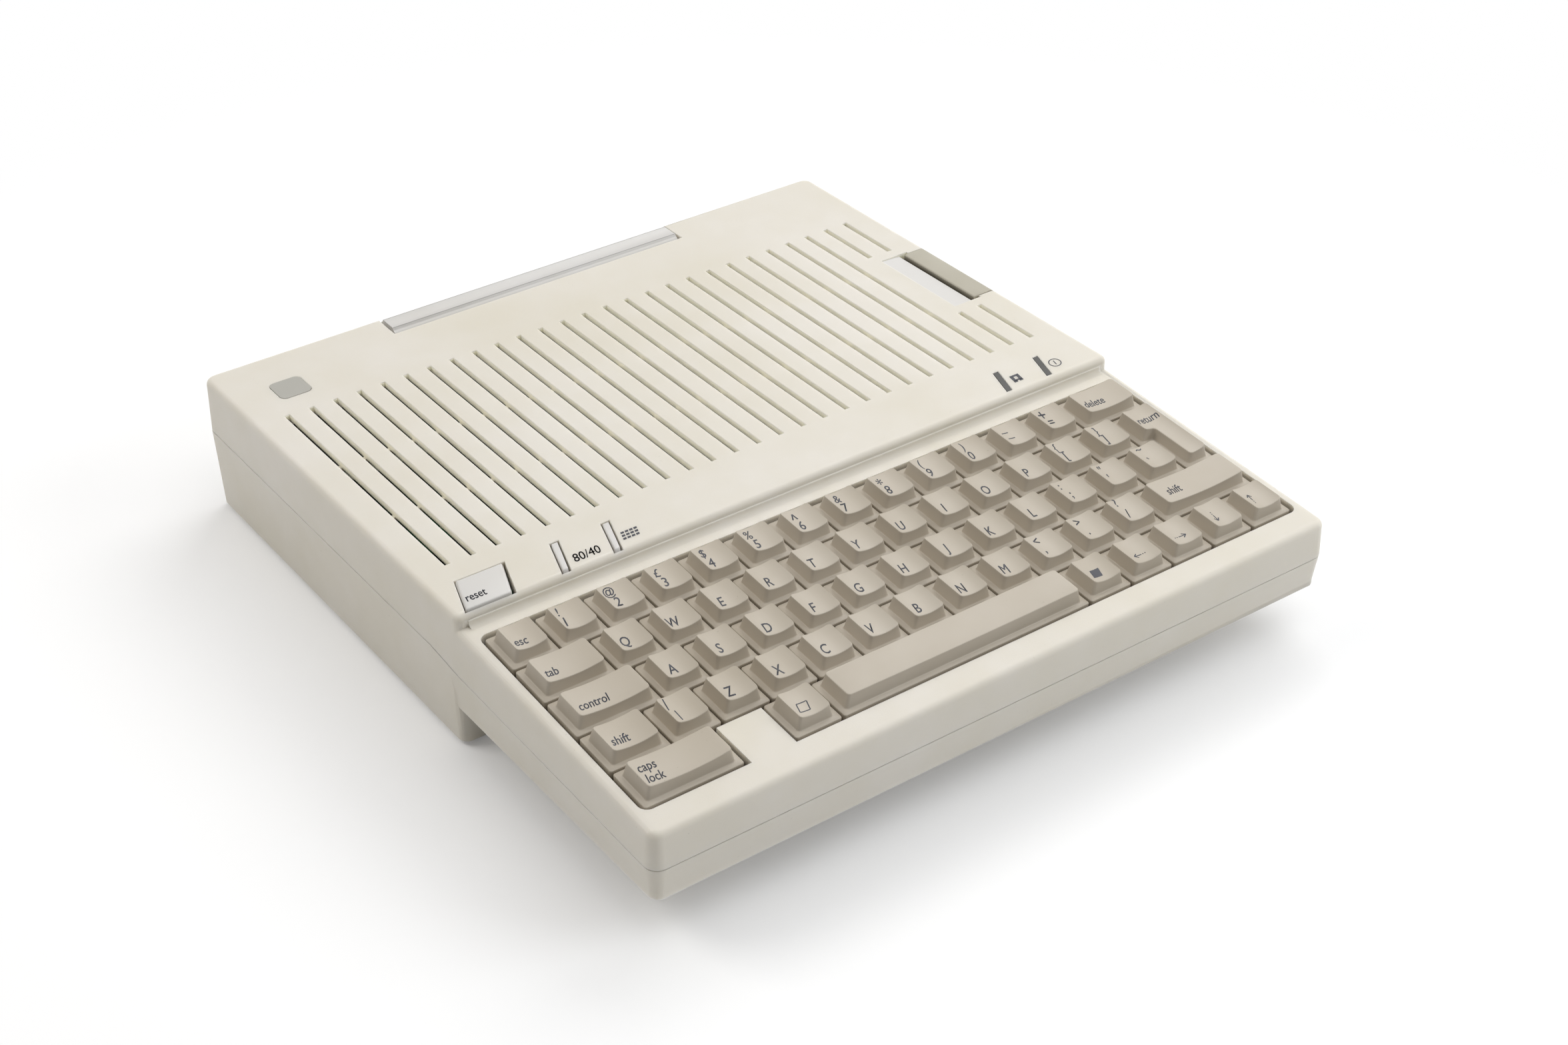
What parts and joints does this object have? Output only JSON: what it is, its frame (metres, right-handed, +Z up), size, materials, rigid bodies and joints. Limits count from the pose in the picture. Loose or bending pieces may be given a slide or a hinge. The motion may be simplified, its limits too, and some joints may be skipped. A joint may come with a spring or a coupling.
{
  "type": "portable home computer",
  "caption": "Low wedge-backed home computer with built-in keyboard, slotted top deck, side-loading disk drive behind a latch door and a swing-down rear carrying handle.",
  "frame": {"origin": "centre of the case's footprint on the table, at the underside of the feet", "axes": "+X to the user's right, +Y to the rear, +Z up"},
  "size_m": [0.288, 0.307, 0.0581],
  "materials": {
    "case_plastic": "fine grain, warm off-white",
    "key_plastic": "fine grain, taupe",
    "white_plastic": "smooth, cool white",
    "latch_plastic": "fine grain, grey taupe",
    "badge": "plain, smooth",
    "lamp": "smooth, near black when off",
    "rubber": "matt",
    "steel": "plated sheet",
    "switch_plastic": "smooth, dark",
    "painted_steel": "black paint on sheet steel",
    "dark_plastic": "smooth, black",
    "board": "solder-masked glass fibre",
    "brass": "turned",
    "cast_metal": "cast"
  },
  "bodies": {
    "case": {"top_case": "case_plastic", "bottom_case": "case_plastic", "badge_inlay": "badge", "indicator_lamps": "lamp", "rubber_feet": "rubber", "case_screws": "steel", "key_switches": "switch_plastic", "keyboard_plate": "painted_steel", "keyboard_board": "board", "logic_board": "board", "logic_chips": "dark_plastic", "bottom_shield": "steel", "power_converter": "steel", "speaker": "dark_plastic", "audio_board": "board", "power_inlet": "dark_plastic", "serial_sockets": "dark_plastic", "data_sockets": "steel", "video_jack": "brass", "drive_chassis": "cast_metal", "drive_board": "board", "stepper_motor": "steel"},
    "key_esc": {"key_esc": "key_plastic"},
    "key_tab": {"key_tab": "key_plastic"},
    "key_control": {"key_control": "key_plastic"},
    "key_left_shift": {"key_left_shift": "key_plastic"},
    "key_caps_lock": {"key_caps_lock": "key_plastic"},
    "key_delete": {"key_delete": "key_plastic"},
    "key_return": {"key_return": "key_plastic"},
    "key_right_shift": {"key_right_shift": "key_plastic"},
    "key_open_marker": {"key_open_marker": "key_plastic"},
    "space_bar": {"space_bar": "key_plastic"},
    "key_solid_marker": {"key_solid_marker": "key_plastic"},
    "key_left_arrow": {"key_left_arrow": "key_plastic"},
    "key_right_arrow": {"key_right_arrow": "key_plastic"},
    "key_down_arrow": {"key_down_arrow": "key_plastic"},
    "key_up_arrow": {"key_up_arrow": "key_plastic"},
    "keys_column_1": {"keys_column_1": "key_plastic"},
    "keys_column_2": {"keys_column_2": "key_plastic"},
    "keys_column_3": {"keys_column_3": "key_plastic"},
    "keys_column_4": {"keys_column_4": "key_plastic"},
    "keys_column_5": {"keys_column_5": "key_plastic"},
    "keys_column_6": {"keys_column_6": "key_plastic"},
    "keys_column_7": {"keys_column_7": "key_plastic"},
    "keys_column_8": {"keys_column_8": "key_plastic"},
    "keys_column_9": {"keys_column_9": "key_plastic"},
    "keys_column_10": {"keys_column_10": "key_plastic"},
    "keys_column_11": {"keys_column_11": "key_plastic"},
    "keys_column_12": {"keys_column_12": "key_plastic"},
    "reset_key": {"reset_key": "white_plastic"},
    "column_switch": {"column_switch": "white_plastic"},
    "keyboard_switch": {"keyboard_switch": "white_plastic"},
    "handle": {"handle": "white_plastic"},
    "drive_latch": {"drive_latch": "latch_plastic"},
    "volume_dial": {"volume_dial": "latch_plastic"},
    "power_switch": {"power_switch": "dark_plastic"},
    "spindle": {"spindle": "cast_metal"},
    "clamp_arm": {"clamp_arm": "dark_plastic"},
    "head_carriage": {"head_carriage": "dark_plastic"},
    "stepper_pulley": {"stepper_pulley": "brass"}
  },
  "joints": [
    {"name": "key_esc_press", "type": "slide", "parent": "case", "child": "key_esc", "axis": [0, -0.0706, 0.9975], "range_m": [-0.0035, 0], "stiffness_N_per_m": 150, "springref_m": 0.001},
    {"name": "key_tab_press", "type": "slide", "parent": "case", "child": "key_tab", "axis": [0, -0.0706, 0.9975], "range_m": [-0.0035, 0], "stiffness_N_per_m": 150, "springref_m": 0.001},
    {"name": "key_control_press", "type": "slide", "parent": "case", "child": "key_control", "axis": [0, -0.0706, 0.9975], "range_m": [-0.0035, 0], "stiffness_N_per_m": 150, "springref_m": 0.001},
    {"name": "key_left_shift_press", "type": "slide", "parent": "case", "child": "key_left_shift", "axis": [0, -0.0706, 0.9975], "range_m": [-0.0035, 0], "stiffness_N_per_m": 150, "springref_m": 0.001},
    {"name": "key_caps_lock_press", "type": "slide", "parent": "case", "child": "key_caps_lock", "axis": [0, -0.0706, 0.9975], "range_m": [-0.0035, 0], "stiffness_N_per_m": 150, "springref_m": 0.001},
    {"name": "key_delete_press", "type": "slide", "parent": "case", "child": "key_delete", "axis": [0, -0.0706, 0.9975], "range_m": [-0.0035, 0], "stiffness_N_per_m": 150, "springref_m": 0.001},
    {"name": "key_return_press", "type": "slide", "parent": "case", "child": "key_return", "axis": [0, -0.0706, 0.9975], "range_m": [-0.0035, 0], "stiffness_N_per_m": 150, "springref_m": 0.001},
    {"name": "key_right_shift_press", "type": "slide", "parent": "case", "child": "key_right_shift", "axis": [0, -0.0706, 0.9975], "range_m": [-0.0035, 0], "stiffness_N_per_m": 150, "springref_m": 0.001},
    {"name": "key_open_marker_press", "type": "slide", "parent": "case", "child": "key_open_marker", "axis": [0, -0.0706, 0.9975], "range_m": [-0.0035, 0], "stiffness_N_per_m": 150, "springref_m": 0.001},
    {"name": "space_bar_press", "type": "slide", "parent": "case", "child": "space_bar", "axis": [0, -0.0706, 0.9975], "range_m": [-0.0035, 0], "stiffness_N_per_m": 150, "springref_m": 0.001},
    {"name": "key_solid_marker_press", "type": "slide", "parent": "case", "child": "key_solid_marker", "axis": [0, -0.0706, 0.9975], "range_m": [-0.0035, 0], "stiffness_N_per_m": 150, "springref_m": 0.001},
    {"name": "key_left_arrow_press", "type": "slide", "parent": "case", "child": "key_left_arrow", "axis": [0, -0.0706, 0.9975], "range_m": [-0.0035, 0], "stiffness_N_per_m": 150, "springref_m": 0.001},
    {"name": "key_right_arrow_press", "type": "slide", "parent": "case", "child": "key_right_arrow", "axis": [0, -0.0706, 0.9975], "range_m": [-0.0035, 0], "stiffness_N_per_m": 150, "springref_m": 0.001},
    {"name": "key_down_arrow_press", "type": "slide", "parent": "case", "child": "key_down_arrow", "axis": [0, -0.0706, 0.9975], "range_m": [-0.0035, 0], "stiffness_N_per_m": 150, "springref_m": 0.001},
    {"name": "key_up_arrow_press", "type": "slide", "parent": "case", "child": "key_up_arrow", "axis": [0, -0.0706, 0.9975], "range_m": [-0.0035, 0], "stiffness_N_per_m": 150, "springref_m": 0.001},
    {"name": "keys_column_1_press", "type": "slide", "parent": "case", "child": "keys_column_1", "axis": [0, -0.0706, 0.9975], "range_m": [-0.0035, 0], "stiffness_N_per_m": 600, "springref_m": 0.001},
    {"name": "keys_column_2_press", "type": "slide", "parent": "case", "child": "keys_column_2", "axis": [0, -0.0706, 0.9975], "range_m": [-0.0035, 0], "stiffness_N_per_m": 600, "springref_m": 0.001},
    {"name": "keys_column_3_press", "type": "slide", "parent": "case", "child": "keys_column_3", "axis": [0, -0.0706, 0.9975], "range_m": [-0.0035, 0], "stiffness_N_per_m": 600, "springref_m": 0.001},
    {"name": "keys_column_4_press", "type": "slide", "parent": "case", "child": "keys_column_4", "axis": [0, -0.0706, 0.9975], "range_m": [-0.0035, 0], "stiffness_N_per_m": 600, "springref_m": 0.001},
    {"name": "keys_column_5_press", "type": "slide", "parent": "case", "child": "keys_column_5", "axis": [0, -0.0706, 0.9975], "range_m": [-0.0035, 0], "stiffness_N_per_m": 600, "springref_m": 0.001},
    {"name": "keys_column_6_press", "type": "slide", "parent": "case", "child": "keys_column_6", "axis": [0, -0.0706, 0.9975], "range_m": [-0.0035, 0], "stiffness_N_per_m": 600, "springref_m": 0.001},
    {"name": "keys_column_7_press", "type": "slide", "parent": "case", "child": "keys_column_7", "axis": [0, -0.0706, 0.9975], "range_m": [-0.0035, 0], "stiffness_N_per_m": 600, "springref_m": 0.001},
    {"name": "keys_column_8_press", "type": "slide", "parent": "case", "child": "keys_column_8", "axis": [0, -0.0706, 0.9975], "range_m": [-0.0035, 0], "stiffness_N_per_m": 600, "springref_m": 0.001},
    {"name": "keys_column_9_press", "type": "slide", "parent": "case", "child": "keys_column_9", "axis": [0, -0.0706, 0.9975], "range_m": [-0.0035, 0], "stiffness_N_per_m": 600, "springref_m": 0.001},
    {"name": "keys_column_10_press", "type": "slide", "parent": "case", "child": "keys_column_10", "axis": [0, -0.0706, 0.9975], "range_m": [-0.0035, 0], "stiffness_N_per_m": 600, "springref_m": 0.001},
    {"name": "keys_column_11_press", "type": "slide", "parent": "case", "child": "keys_column_11", "axis": [0, -0.0706, 0.9975], "range_m": [-0.0035, 0], "stiffness_N_per_m": 600, "springref_m": 0.001},
    {"name": "keys_column_12_press", "type": "slide", "parent": "case", "child": "keys_column_12", "axis": [0, -0.0706, 0.9975], "range_m": [-0.0035, 0], "stiffness_N_per_m": 600, "springref_m": 0.001},
    {"name": "reset_key_press", "type": "slide", "parent": "case", "child": "reset_key", "axis": [0, -0.0706, 0.9975], "range_m": [-0.002, 0], "stiffness_N_per_m": 200, "springref_m": 0.001},
    {"name": "column_switch_press", "type": "slide", "parent": "case", "child": "column_switch", "axis": [0, -0.0706, 0.9975], "range_m": [-0.002, 0]},
    {"name": "keyboard_switch_press", "type": "slide", "parent": "case", "child": "keyboard_switch", "axis": [0, -0.0706, 0.9975], "range_m": [-0.002, 0]},
    {"name": "volume_dial_turn", "type": "hinge", "parent": "case", "child": "volume_dial", "pos_m": [-0.1, -0.029, 0.0096], "axis": [0, 0, 1], "range_deg": [-135, 135]},
    {"name": "handle_swing", "type": "hinge", "parent": "case", "child": "handle", "pos_m": [0, 0.1494, 0.0171], "axis": [-1, 0, 0], "range_deg": [0, 170]},
    {"name": "power_switch_rock", "type": "hinge", "parent": "case", "child": "power_switch", "pos_m": [-0.122, 0.1477, 0.0181], "axis": [-1, 0, 0], "range_deg": [0, 12]},
    {"name": "drive_latch_open", "type": "hinge", "parent": "case", "child": "drive_latch", "pos_m": [0.1365, 0.04975, 0.0515], "axis": [0, -1, 0], "range_deg": [0, 40]},
    {"name": "clamp_arm_lift", "type": "hinge", "parent": "case", "child": "clamp_arm", "pos_m": [-0.002, 0.04975, 0.0423], "axis": [0, -1, 0], "range_deg": [0, 3]},
    {"name": "spindle_spin", "type": "hinge", "parent": "case", "child": "spindle", "pos_m": [0.0693, 0.04975, 0.03], "axis": [0, 0, 1], "continuous": true},
    {"name": "head_carriage_travel", "type": "slide", "parent": "case", "child": "head_carriage", "axis": [1, 0, 0], "range_m": [0, 0.0185]},
    {"name": "stepper_pulley_turn", "type": "hinge", "parent": "case", "child": "stepper_pulley", "pos_m": [0.02, 0.00775, 0.027], "axis": [0, 0, -1], "range_deg": [0, 152]}
  ],
  "couplings": [
    {"joint": "clamp_arm_lift", "follows": "drive_latch_open", "ratio": 0.07},
    {"joint": "stepper_pulley_turn", "follows": "head_carriage_travel", "rad_per_m": 142.86}
  ]
}
